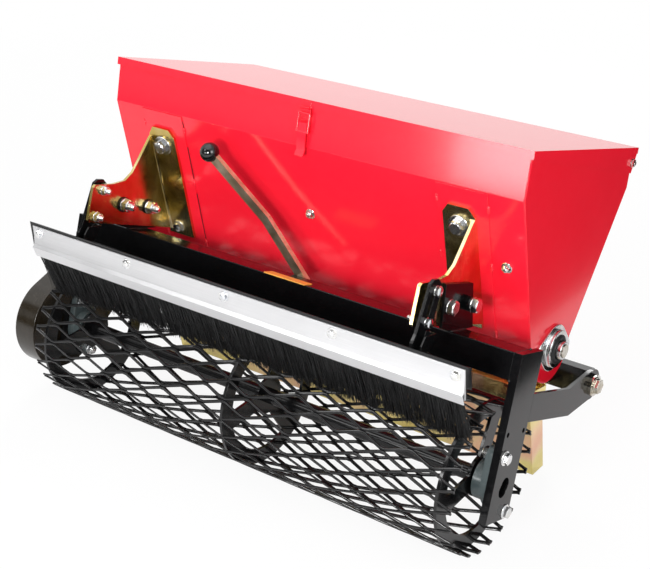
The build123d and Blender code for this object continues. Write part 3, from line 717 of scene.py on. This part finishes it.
def on_panel(x, s, off):
    """Point on the hopper's front panel: s down it from the crease, off in front of it."""
    return (x, CREASE[0] + panel_y * s + panel_z * off, CREASE[1] + panel_z * s - panel_y * off)


def panel_seeds(places, off):
    """Seeds at places (x, s) on the front panel, off in front of it, with their axis square to it."""
    return [(*on_panel(x, s, off), (0, panel_z, -panel_y)) for x, s in places]


stitches = []
for x in (-DOUBLER_OUTER, -DOUBLER_INNER, DOUBLER_INNER, DOUBLER_OUTER):
    for s in STITCHES:
        stitches.append((on_panel(x, s - STITCH_HALF, STITCH_OFF), on_panel(x, s + STITCH_HALF, STITCH_OFF)))
add_welds("doubler_welds", stitches, bead=3.2, material=red_gloss)

# Dark red paint for the strips of painted shade, which stand for the shadow under the doubler's edge between
# the stitches.
shade_strip_paint = paint_material(
    "Painted shade strip", (0.05, 0.002, 0.003, 1), (0.02, 0.001, 0.002, 1), (0.2, 0.01, 0.02, 1),
    dust=0.1, peel=0.3, gloss=0.5, coat=0.0, wear=0.3,
)
# Flat strips of painted shade beside the left doubler's inner edge.
shade_strip_mesh = bmesh.new()
left, right = -DOUBLER_INNER, SHADE_STRIP_WIDTH - DOUBLER_INNER
for start, finish in SHADE_STRIP_SPANS:
    around = ((left, start), (right, start), (right, finish), (left, finish))
    shade_strip_mesh.faces.new([shade_strip_mesh.verts.new(LEVEL @ Vector(on_panel(x, s, SHADE_STRIP_OFF))) for x, s in around])
bmesh.ops.recalc_face_normals(shade_strip_mesh, faces=shade_strip_mesh.faces)
add_piece("doubler_shade_strips", set_down(shade_strip_mesh, "doubler_shade_strips"), shade_strip_paint, "frame")
add_fasteners("panel_bolts", panel_seeds(PANEL_BOLTS, off=0.0), (13, 6, 10.5, 1.8), stub=(3.8, 3))


# ---------------------------------------------------------------- brackets
# Yellow-zinc angle brackets between the hopper and the beam's plates, each held by two bolts to the
# hopper and by two through its side plate.
BRACKET_SHEET = 6.0
DOUBLER = 2.0
BRACKET_BOLT = (347.0, 75.0)
BRACKET_FOOT_BOLT = (350.0, 268.0)
PLATE_BOLTS_RIGHT = ((-33.0, 290.0), (30.0, 287.0))
PLATE_BOLTS_LEFT = ((-45.0, 297.0), (29.0, 286.0))
SPACER_RIGHT = 11.0
SPACER_LEFT = 4.0

yellow_zinc = plated_material(
    "Yellow zinc plate",
    (
        (0.0, (0.52, 0.38, 0.10, 1)), (0.35, (0.66, 0.52, 0.20, 1)),
        (0.65, (0.78, 0.66, 0.36, 1)), (1.0, (0.74, 0.50, 0.36, 1)),
    ),
    (0.50, 0.36, 0.14, 1), film=9.0, polish=0.19, dents=0.05,
)
for node in ("hopper_bracket_left", "hopper_bracket_right"):
    refine(node, yellow_zinc, edge=1.0)
for name, (x, s), size in (
    ("bracket_bolts", BRACKET_BOLT, (25, 12, 20.5, 3.4)),
    ("bracket_foot_bolts", BRACKET_FOOT_BOLT, (19, 7, 13, 2.5)),
):
    places = [(BRACKET_SHIFT - x, s), (BRACKET_SHIFT + x, s)]
    add_fasteners(name, panel_seeds(places, off=DOUBLER + BRACKET_SHEET), size)

plate_out = BRACKET_X + PLATE_THICK + BRACKET_SHIFT
right_in = BRACKET_X - BRACKET_SHEET + BRACKET_SHIFT
left_in = -BRACKET_X + BRACKET_SHEET + BRACKET_SHIFT
left_out = -BRACKET_X - PLATE_THICK + BRACKET_SHIFT
painted = {"material": black_gloss, "slot": "black_paint"}
front_bolt = sideways(plate_out, 1, PLATE_BOLTS_RIGHT[:1])
spacers = sideways(plate_out, 1, PLATE_BOLTS_RIGHT[1:])
rear_bolt = sideways(plate_out + SPACER_RIGHT, 1, PLATE_BOLTS_RIGHT[1:])
nuts = sideways(right_in, -1, PLATE_BOLTS_RIGHT)
add_fasteners("plate_spacers", spacers, (20, 0.4, 13.5, SPACER_RIGHT), **painted)
add_fasteners("plate_bolts_right", front_bolt + rear_bolt, (25, 11, 14, 2.5))
add_fasteners("bracket_nuts_right", nuts, (24, 13, 15, 2.5), stub=(8, 8))
spacers = sideways(left_in, 1, PLATE_BOLTS_LEFT)
nuts = sideways(left_in + SPACER_LEFT, 1, PLATE_BOLTS_LEFT)
add_fasteners("nut_spacers_left", spacers, (20, 0.4, 15.5, SPACER_LEFT), **painted)
add_fasteners("bracket_nuts_left", nuts, (24, 14, 14, 1), stub=(8, 12))
add_fasteners("plate_bolts_left", sideways(left_out, -1, PLATE_BOLTS_LEFT), (24, 10, 12.5, 2.5))


# ---------------------------------------------------------------- brush arms
# Slotted black plates, forked at the foot, that carry the brush and let it be set to the mesh.
# Two bolts hold each to the outside of a beam plate and its bracket.
ARM_BOLTS_RIGHT = ((-99.0, 330.0), (-116.0, 277.0))
ARM_BOLTS_LEFT = ((-104.0, 331.0), (-119.0, 279.0))
ARM_BOLT = (17, 7, 9.5, 1.8)
ARM_NUT = (17, 9, 10.5, 1.8)
for node in ("brush_arm_left", "brush_arm_right"):
    refine(node, black_gloss, edge=0.7)
for name, x, way, places, size, stub in (
    ("arm_bolts_right", plate_out + PLATE_THICK, 1, ARM_BOLTS_RIGHT, ARM_BOLT, (0, 0)),
    ("arm_bolts_left", left_out - PLATE_THICK, -1, ARM_BOLTS_LEFT, ARM_BOLT, (0, 0)),
    ("arm_nuts_right", right_in, -1, ARM_BOLTS_RIGHT, ARM_NUT, (5, 8)),
    ("arm_nuts_left", left_in, 1, ARM_BOLTS_LEFT, ARM_NUT, (5, 8)),
):
    add_fasteners(name, sideways(x, way, places), size, stub)


# ---------------------------------------------------------------- brush
# Black angle with an anodised aluminium strip bolted on, which clamps a row of stiff nylon
# bristles that wipe the roller's mesh.
BRUSH_TOP = (-176.0, 247.0)
BRUSH_LEAN = math.radians(17.4)
STRIP_THICK = 3.1
STRIP_BOLTS = (-478.0, -240.0, 0.0, 240.0, 485.0)
STRIP_BOLT_DOWN = 20.5
BRISTLES = 6500
BRISTLE_HALF = 491.0
BRISTLE_FRONT = (66.0, 3.5)
BRISTLE_REAR = (62.0, -8.0)
BRISTLE_LENGTH = 114.0
BRISTLE_RADIUS = 0.62
BRISTLE_LEAN = math.radians(33.2)
BRISTLE_SPREAD = 0.035
CLUMP_SCALE = 0.06
CLUMP_LEAN = 0.28
TIP_SAG = 0.035
TIP_TAPER = 0.45


def make_aluminium():
    """Anodised aluminium, faintly lined along its length by rolling and brushing."""
    material, tree, shader = new_material("Anodised aluminium", Metallic=1.0)
    lines = object_noise(tree, 900.0, detail=3.0, roughness=0.6, stretch=(0.01, 1, 1))
    colour = blend_colour(tree, lines, (0.63, 0.63, 0.64, 1), (0.75, 0.75, 0.76, 1))
    dull = ramp(tree, object_noise(tree, 12.0), 0.3, 0.7, to=(0.38, 0.45))
    feed(tree, shader.inputs, Base_Color=colour, Roughness=dull, Normal=bumped(tree, 0.25, 0.0003, lines))
    return material


def moulded_material(name, pattern, colours, dull, spread=None, **constants):
    """Material clouded between two colours and two roughnesses; a spread sharpens the colours' clouds."""
    material, tree, shader = new_material(name, **constants)
    cloud = object_noise(tree, **pattern)
    share = ramp(tree, cloud, *spread) if spread else cloud
    colour = blend_colour(tree, share, *colours)
    feed(tree, shader.inputs, Base_Color=colour, Roughness=ramp(tree, cloud, 0.3, 0.7, to=dull))
    return material


nylon = moulded_material(
    "Black nylon bristle", {"scale": 260.0, "detail": 2.0, "roughness": 0.6, "stretch": (1, 1, 0.15)},
    ((0.002, 0.002, 0.0022, 1), (0.009, 0.009, 0.0095, 1)),
    dull=(0.3, 0.5), spread=(0.35, 0.7), Specular_IOR_Level=0.35,
)
refine("brush_angle", black_gloss, edge=0.8)
refine("brush_strip", make_aluminium(), edge=0.6)


def on_brush(s, off):
    """Point (y, z) on the leaning brush: s down its face from the top edge, off in front of it."""
    return (
        BRUSH_TOP[0] + s * math.sin(BRUSH_LEAN) - off * math.cos(BRUSH_LEAN),
        BRUSH_TOP[1] - s * math.cos(BRUSH_LEAN) - off * math.sin(BRUSH_LEAN),
    )


strip_out = (0, -math.cos(BRUSH_LEAN), -math.sin(BRUSH_LEAN))
bolts = [(x, *on_brush(STRIP_BOLT_DOWN, STRIP_THICK), strip_out) for x in STRIP_BOLTS]
add_fasteners("strip_bolts", bolts, (13, 4.5, 10.2, 2.2))


def make_bristle_tree():
    """Thin tapered filaments with their roots in a narrow band, leaning together in clumps."""
    tree, given, out = new_rule(
        "Bristles", Count="Int", Half_width="Float", Front="Vector", Rear="Vector", Length="Float",
        Radius="Float", Lean="Float", Spread="Float", Seed="Int",
    )

    def scatter(low, high, offset):
        """A different random value for each filament."""
        return random_value(tree, low, high, maths(tree, "ADD", given["Seed"], offset))

    def turned(axis, angle):
        """Rotation about an axis."""
        return result(tree, "FunctionNodeAxisAngleToRotation", {"Axis": axis, "Angle": angle})

    def turned_by(first, then):
        """One rotation after another."""
        return result(tree, "FunctionNodeRotateRotation", {"Rotation": first, "Rotate By": then})

    roots = result(tree, "GeometryNodeMeshLine", {"Count": given["Count"], "Offset": (0, 0, 0)})
    along = xyz(tree, X=maths(tree, "MULTIPLY", scatter(-1.0, 1.0, 0), given["Half width"]))
    rows = {"Factor": scatter(0.0, 1.0, 1), "A": given["Front"], "B": given["Rear"]}
    row = pick(add_node(tree, "ShaderNodeMix", rows, data_type="VECTOR").outputs, "Result")
    root = result(tree, "ShaderNodeVectorMath", {0: row, 1: along}, operation="ADD")
    placed = result(tree, "GeometryNodeSetPosition", {"Geometry": roots, "Position": root})
    clumps = result(tree, "ShaderNodeTexNoise", {"Vector": along, "Scale": CLUMP_SCALE, "Detail": 2.0})
    comb = maths(tree, "MULTIPLY", maths(tree, "SUBTRACT", clumps, 0.5), CLUMP_LEAN)
    sway = maths(tree, "ADD", comb, maths(tree, "MULTIPLY", scatter(-1.0, 1.0, 2), given["Spread"]))
    nod = maths(tree, "MULTIPLY_ADD", scatter(-1.0, 1.0, 3), given["Spread"], given["Lean"])
    swayed = turned_by(turned((0, 0, 1), scatter(0.0, FULL_TURN, 4)), turned((0, 1, 0), sway))
    aimed = turned_by(swayed, turned((1, 0, 0), nod))
    line = result(tree, "GeometryNodeCurvePrimitiveLine", {"Start": (0, 0, 0), "End": (0, 0, -1)})
    fine = result(tree, "GeometryNodeResampleCurve", {"Curve": line, "Count": 4})
    down = maths(tree, "ABSOLUTE", coordinate(tree, result(tree, "GeometryNodeInputPosition"), "Z"))
    sag = xyz(tree, X=maths(tree, "MULTIPLY", maths(tree, "POWER", down, 2), TIP_SAG))
    bent = result(tree, "GeometryNodeSetPosition", {"Geometry": fine, "Offset": sag})
    thin = maths(tree, "DIVIDE", given["Radius"], given["Length"])
    hair = result(tree, "GeometryNodeCurveToMesh", {
        "Curve": bent,
        "Profile Curve": result(tree, "GeometryNodeCurvePrimitiveCircle", {"Resolution": 3, "Radius": thin}),
        "Scale": ramp(tree, down, 0.0, 1.0, to=(1.0, TIP_TAPER)),
    })
    hairs = result(tree, "GeometryNodeInstanceOnPoints", {
        "Points": placed,
        "Instance": hair,
        "Rotation": aimed,
        "Scale": maths(tree, "MULTIPLY", scatter(0.9, 1.0, 5), given["Length"]),
    })
    return end_rule(tree, given, out, hairs)


bristles = grown("bristles", make_bristle_tree(), {
    "Count": BRISTLES,
    "Half width": BRISTLE_HALF,
    "Front": (0, *on_brush(*BRISTLE_FRONT)),
    "Rear": (0, *on_brush(*BRISTLE_REAR)),
    "Length": BRISTLE_LENGTH,
    "Radius": BRISTLE_RADIUS,
    "Lean": BRISTLE_LEAN,
    "Spread": BRISTLE_SPREAD,
    "Seed": 3,
    "Material": nylon,
}, [(0, 0, 0)])
add_piece("bristles", bristles, None, "frame", ["brush_bristles"], crease=180.0)


# ---------------------------------------------------------------- seed rate lever
# Zinc-plated flat bar with a polished ball of black plastic, over a yellow scale plate on the beam,
# whose paint is darker where it is handled.
lever_zinc = plated_material(
    "Lever zinc plate",
    ((0.0, (0.46, 0.36, 0.22, 1)), (0.5, (0.60, 0.49, 0.34, 1)), (1.0, (0.78, 0.66, 0.52, 1))),
    (0.34, 0.26, 0.18, 1), film=22.0, polish=0.42, dents=0.06,
)
ball_plastic = moulded_material(
    "Black ball plastic", {"scale": 35.0, "detail": 3.0, "distortion": 1.5},
    ((0.0015, 0.002, 0.002, 1), (0.004, 0.005, 0.005, 1)),
    dull=(0.07, 0.14), Coat_Weight=0.1, Coat_Roughness=0.03,
)
scale_paint = moulded_material(
    "Scale plate yellow", {"scale": 60.0, "detail": 4.0, "roughness": 0.65},
    ((0.82, 0.40, 0.07, 1), (0.55, 0.25, 0.05, 1)),
    dull=(0.3, 0.45), spread=(0.4, 0.75), Specular_IOR_Level=0.4,
)
refine("lever", lever_zinc, edge=0.6, angle=SHALLOW_FOLD)
refine("lever_knob", ball_plastic, edge=0.3)
refine("scale_plate", scale_paint, edge=0.3)


# ---------------------------------------------------------------- lid and latch
# Lid pressed from one sheet in the hopper's red, on a pivot bolt each side, with a painted toggle
# latch at the middle of its front edge.
LID_AXIS = (425.0, 530.0)
LID_PIVOT_OUT = 473.3
for node in ("lid", "latch_hook"):
    refine(node, red_gloss, edge=0.7, body="lid")
refine("lid_latch", red_gloss, edge=0.4)
pivots = sideways(-LID_PIVOT_OUT, -1, [LID_AXIS]) + sideways(LID_PIVOT_OUT, 1, [LID_AXIS])
add_fasteners(
    "lid_pivots", pivots, (13, 5, 8.5, 1.5), stub=(3.9, 2), replaces=("lid_pivot_left", "lid_pivot_right"),
)


# ---------------------------------------------------------------- seed shaft
# Turned bar through the hopper's trough with a row of stirring pins, in pressed flange bearings.
# A lip of black rubber, dull and paler where it has dried, seals each bearing.
SEAL_STEPS = 48
# The lip's outline: how far out across the drill, and how far from the shaft's axis.
SEAL = ((482.2, 19.0), (484.6, 19.6), (485.4, 21.5), (484.8, 25.5), (483.2, 28.0), (482.2, 28.0))

for node in ("seed_shaft", "stirring_pins"):
    refine(node, turned_steel, edge=0.6, body="seed_shaft")
for node in ("seed_bearing_left", "seed_bearing_right"):
    refine(node, bright_zinc, edge=1.2)
rubber = moulded_material(
    "Seal rubber", {"scale": 90.0, "detail": 4.0, "roughness": 0.65},
    ((0.006, 0.006, 0.007, 1), (0.02, 0.02, 0.02, 1)),
    dull=(0.35, 0.55), Specular_IOR_Level=0.35,
)
lips = bmesh.new()
for side in (-1, 1):
    rings = []
    for step in range(SEAL_STEPS):
        angle = 2 * math.pi * step / SEAL_STEPS
        rings.append([
            lips.verts.new(LEVEL @ Vector(
                (side * x, SEED_AXIS[0] + r * math.cos(angle), SEED_AXIS[1] + r * math.sin(angle))
            ))
            for x, r in SEAL
        ])
    for near, far in zip(rings, rings[1:] + rings[:1]):
        for i in range(len(SEAL)):
            j = (i + 1) % len(SEAL)
            lips.faces.new((near[i], near[j], far[j], far[i]))
bmesh.ops.recalc_face_normals(lips, faces=lips.faces)
add_piece("seed_seals", set_down(lips, "seed_seals"), rubber, "frame")


# ---------------------------------------------------------------- chain guard
# Black-painted sheet-metal case at the left, welded along its rim, over the chain that turns the
# seed shaft from the roller.
guard_paint = paint_material(
    "Chain guard paint", (0.009, 0.0065, 0.0035, 1), (0.014, 0.010, 0.005, 1), (0.07, 0.06, 0.05, 1),
    dust=0.05, peel=0.1, gloss=0.2, coat=0.0, wear=0.5,
)
refine("chain_guard", guard_paint, edge=1.5)


# ---------------------------------------------------------------- seed chute
# Yellow-zinc sheets, folded and welded at the ends, that lead the seed from the hopper's trough
# to the ground.
chute_zinc = plated_material(
    "Chute zinc plate",
    (
        (0.0, (0.80, 0.66, 0.20, 1)), (0.4, (0.86, 0.74, 0.32, 1)),
        (0.7, (0.90, 0.64, 0.40, 1)), (1.0, (0.88, 0.52, 0.36, 1)),
    ),
    (0.78, 0.60, 0.30, 1), film=5.0, polish=0.13, dents=0.04,
)
for node in ("chute_front", "chute_rear", "chute_end_left", "chute_end_right"):
    refine(node, chute_zinc, edge=0.6, angle=SHALLOW_FOLD)


# ---------------------------------------------------------------- studio
# A white floor and white surroundings, with soft lamps above, on both sides, in front and behind.
# Two dark cards, which show only in reflections, are the unlit sides of the room.
FLOOR_RADIUS = 3.6
FLOOR_DOWN = -0.0005
FLOOR_MIRRORED = 0.25
WORLD_LIGHT = 0.36


def stand_up(name, mesh, material):
    """Put a mesh in the studio, outside the drill itself."""
    mesh.materials.append(material)
    thing = new_object(name, mesh)
    return thing


def make_floor():
    """White floor, seen a little whiter than it is lit so that it meets the backdrop softly."""
    bm = bmesh.new()
    bmesh.ops.create_circle(bm, cap_ends=True, segments=96, radius=FLOOR_RADIUS)
    bmesh.ops.translate(bm, verts=bm.verts, vec=(0, 0, FLOOR_DOWN))
    material, tree, shader = new_material(
        "Studio floor", Base_Color=(0.72, 0.72, 0.72, 1), Roughness=0.6, Specular_IOR_Level=0.1,
    )
    rays = add_node(tree, "ShaderNodeLightPath").outputs
    place = add_node(tree, "ShaderNodeTexCoord").outputs["Object"]
    reach = add_node(tree, "ShaderNodeVectorMath", {0: place}, operation="LENGTH").outputs["Value"]
    seen = maths(tree, "MULTIPLY", rays["Is Camera Ray"], ramp(tree, reach, 1.3, 3.3, to=(0.91, 1.0)))
    mirrored = ramp(tree, rays["Is Glossy Ray"], 0, 1, to=(0.0, FLOOR_MIRRORED))
    white = result(tree, "ShaderNodeEmission", {"Color": (1, 1, 1, 1), "Strength": 1.0})
    end = next(n for n in tree.nodes if n.type == "OUTPUT_MATERIAL")
    feed(tree, end.inputs, Surface=result(tree, "ShaderNodeMixShader", {
        0: maths(tree, "ADD", seen, mirrored), 1: shader.outputs[0], 2: white,
    }))
    stand_up("studio_floor", set_down(bm, "studio_floor"), material)


def make_surroundings():
    """White world, at full strength where it is seen or mirrored."""
    world = bpy.data.worlds.new("Studio")
    bpy.context.scene.world = world
    world.use_nodes = True
    tree = world.node_tree
    back = next(n for n in tree.nodes if n.type == "BACKGROUND")
    back.inputs["Color"].default_value = (1, 1, 1, 1)
    rays = add_node(tree, "ShaderNodeLightPath").outputs
    seen = maths(tree, "MAXIMUM", rays["Is Camera Ray"], rays["Is Transmission Ray"])
    seen = maths(tree, "MAXIMUM", seen, rays["Is Glossy Ray"])
    feed(tree, back.inputs, Strength=ramp(tree, seen, 0, 1, to=(WORLD_LIGHT, 1.0)))


def make_dark_card():
    """Matt black of the unlit sides of the room."""
    material, tree, shader = new_material("Dark card", Roughness=1.0, Specular_IOR_Level=0.0)
    weave = object_noise(tree, 3.0)
    black = blend_colour(tree, weave, (0.004, 0.004, 0.004, 1), (0.008, 0.008, 0.008, 1))
    feed(tree, shader.inputs, Base_Color=black)
    return material


def add_card(name, start, finish, height, material):
    """Card that stands on a line on the floor, and that only mirrors see."""
    mesh = bpy.data.meshes.new(name)
    corners = [(*start, 0), (*finish, 0), (*finish, height), (*start, height)]
    mesh.from_pydata(corners, [], [(0, 1, 2, 3)])
    card = stand_up(name, mesh, material)
    for rays in ("camera", "diffuse", "shadow", "transmission", "volume_scatter"):
        setattr(card, "visible_" + rays, False)


def add_lamp(name, place, target, width, height, power):
    """Soft rectangular lamp that faces a point."""
    lamp = bpy.data.lights.new(name, "AREA")
    lamp.shape = "RECTANGLE"
    lamp.size, lamp.size_y = width, height
    lamp.energy = power
    holder = new_object(name, lamp)
    holder.location = place
    holder.rotation_euler = (Vector(target) - Vector(place)).to_track_quat("-Z", "Y").to_euler()
    holder.visible_camera = False


make_floor()
make_surroundings()
dark_card = make_dark_card()
add_card("card_front", (-6, -3.4), (5, -3.4), 4, dark_card)
add_card("card_right", (0.8, 0.15), (0.8, 2.4), 1.4, dark_card)
add_lamp("Lamp above", (-0.4, -0.6, 3.2), (0, 0, 0.3), 3.0, 3.0, power=37)
add_lamp("Lamp front", (-1.5, -2.7, 1.03), (0, 0, 0.6), 3.0, 0.66, power=3)
add_lamp("Lamp key", (-0.54, -2.6, 0.9), (0, 0, 0.6), 0.88, 0.4, power=12.5)
add_lamp("Lamp left", (-1.2, -2.2, 2.1), (0, 0, 0.4), 0.8, 0.8, power=11)
add_lamp("Lamp near", (0.7, -2.4, 1.1), (0.1, 0, 0.35), 0.6, 0.6, power=56)
add_lamp("Lamp behind", (-1.3, 2.6, 2.2), (0, 0.9, 0.1), 2.0, 1.2, power=70)
add_lamp("Lamp right", (2.6, -1.2, 1.6), (0.4, 0, 0.4), 1.5, 1.5, power=44)

lens = bpy.data.cameras.new("Camera")
lens.lens = 74.74
lens.sensor_width = 36.0
camera = new_object("Camera", lens)
camera.location = (1.4567, -1.9679, 1.4718)
camera.rotation_euler = [math.radians(a) for a in (64.268, 0.152, 36.293)]
bpy.context.scene.camera = camera
bpy.context.scene.view_settings.view_transform = "Standard"
